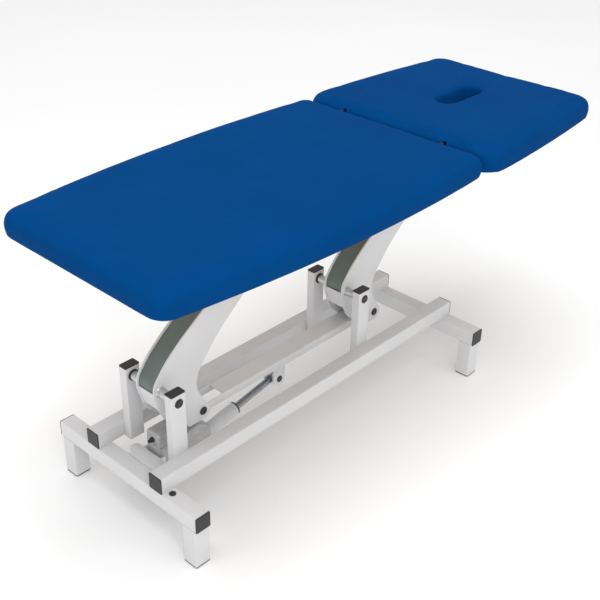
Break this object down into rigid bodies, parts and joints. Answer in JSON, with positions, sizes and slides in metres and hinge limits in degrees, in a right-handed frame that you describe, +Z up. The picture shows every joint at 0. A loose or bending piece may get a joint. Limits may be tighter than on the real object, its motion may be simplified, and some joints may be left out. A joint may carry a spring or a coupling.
{
  "type": "medical examination couch",
  "caption": "Height-adjustable examination couch: two upholstered sections with a face slot, on a tube base with a parallelogram lift and an electric actuator.",
  "frame": {"origin": "floor point under the middle of the couch's overall box, at rest", "axes": "+X along the couch to the head end, +Y across the couch, +Z up"},
  "size_m": [1.876, 0.7446, 0.893],
  "materials": {
    "white_paint": "satin",
    "black_plastic": "satin",
    "bright_steel": "satin",
    "black_steel": "satin",
    "grey_cover": "satin",
    "grey_casting": "matte",
    "grey_plastic": "satin",
    "blue_vinyl": "satin",
    "plywood": "matte"
  },
  "bodies": {
    "base": {"crossbars": "white_paint", "base_rails": "white_paint", "legs": "white_paint", "foot_caps": "black_plastic", "crossbar_caps": "black_plastic", "rail_caps": "black_plastic", "uprights": "white_paint", "upright_caps": "black_plastic", "pivot_shafts": "bright_steel", "shaft_end_caps": "black_plastic", "crossbar_plug": "black_plastic", "actuator_bracket": "white_paint", "base_pin": "bright_steel", "base_pin_sleeves": "black_plastic"},
    "front_arm": {"front_arm_plates": "white_paint", "front_arm_panel": "grey_cover", "front_arm_webs": "white_paint", "front_arm_hub_tube": "bright_steel", "front_arm_bushes": "black_plastic", "front_arm_top_tube": "bright_steel"},
    "rear_arm": {"rear_arm_plates": "white_paint", "rear_arm_panel": "grey_cover", "rear_arm_webs": "white_paint", "rear_arm_hub_tube": "bright_steel", "rear_arm_bushes": "black_plastic", "rear_arm_top_tube": "bright_steel"},
    "link": {"link_channel": "white_paint", "rod_lugs": "white_paint", "rod_pin": "black_plastic", "tail_bolts": "black_plastic", "tail_washers": "bright_steel"},
    "actuator_body": {"gear_housing": "grey_casting", "motor_housing": "grey_plastic", "actuator_tube": "grey_casting", "tube_end_ring": "black_plastic", "drive_motor": "bright_steel", "motor_pinion": "bright_steel", "screw_gear": "bright_steel", "lead_screw": "bright_steel", "mains_inlet": "black_plastic"},
    "actuator_rod": {"push_rod": "bright_steel", "rod_eye": "bright_steel", "drive_nut": "black_plastic"},
    "top_frame": {"top_rails": "white_paint", "top_cross_tubes": "white_paint", "top_rail_caps": "black_plastic", "hanger_plates": "white_paint", "outrigger_plates": "white_paint", "upper_shafts": "bright_steel", "upper_shaft_nuts": "black_plastic", "board_screws": "bright_steel", "main_board": "plywood", "main_cushion": "blue_vinyl", "hinge_fixed_leaves": "black_steel", "hinge_pins": "black_plastic"},
    "head_section": {"head_board": "plywood", "head_cushion": "blue_vinyl", "head_side_tubes": "white_paint", "head_cross_tube": "white_paint", "hinge_moving_leaves": "black_steel"}
  },
  "joints": [
    {"name": "lift", "type": "hinge", "parent": "base", "child": "front_arm", "pos_m": [-0.73, 0, 0.392], "axis": [0, -1, 0], "range_deg": [-38, 4]},
    {"name": "rear_arm", "type": "hinge", "parent": "base", "child": "rear_arm", "pos_m": [0.034, 0, 0.392], "axis": [0, -1, 0], "range_deg": [-38, 4]},
    {"name": "top_level", "type": "hinge", "parent": "front_arm", "child": "top_frame", "pos_m": [-0.315, 0, 0.705], "axis": [0, -1, 0], "range_deg": [-4, 38]},
    {"name": "link_level", "type": "hinge", "parent": "front_arm", "child": "link", "pos_m": [-0.584, 0, 0.252], "axis": [0, -1, 0], "range_deg": [-4, 38]},
    {"name": "actuator_pivot", "type": "hinge", "parent": "base", "child": "actuator_body", "pos_m": [-0.75, 0, 0.095], "axis": [0, -1, 0], "range_deg": [-6.4, 0.7]},
    {"name": "rod_pivot", "type": "hinge", "parent": "link", "child": "actuator_rod", "pos_m": [-0.256, 0, 0.19], "axis": [0, -1, 0], "range_deg": [-6.4, 0.7]},
    {"name": "head_tilt", "type": "hinge", "parent": "top_frame", "child": "head_section", "pos_m": [0.252, 0, 0.868], "axis": [0, -1, 0], "range_deg": [-10, 50]}
  ],
  "couplings": [
    {"joint": "rear_arm", "follows": "lift", "ratio": 1},
    {"joint": "top_level", "follows": "lift", "ratio": -1},
    {"joint": "link_level", "follows": "lift", "ratio": -1},
    {"joint": "actuator_pivot", "follows": "lift", "ratio": 0.166},
    {"joint": "rod_pivot", "follows": "lift", "ratio": 0.166}
  ]
}
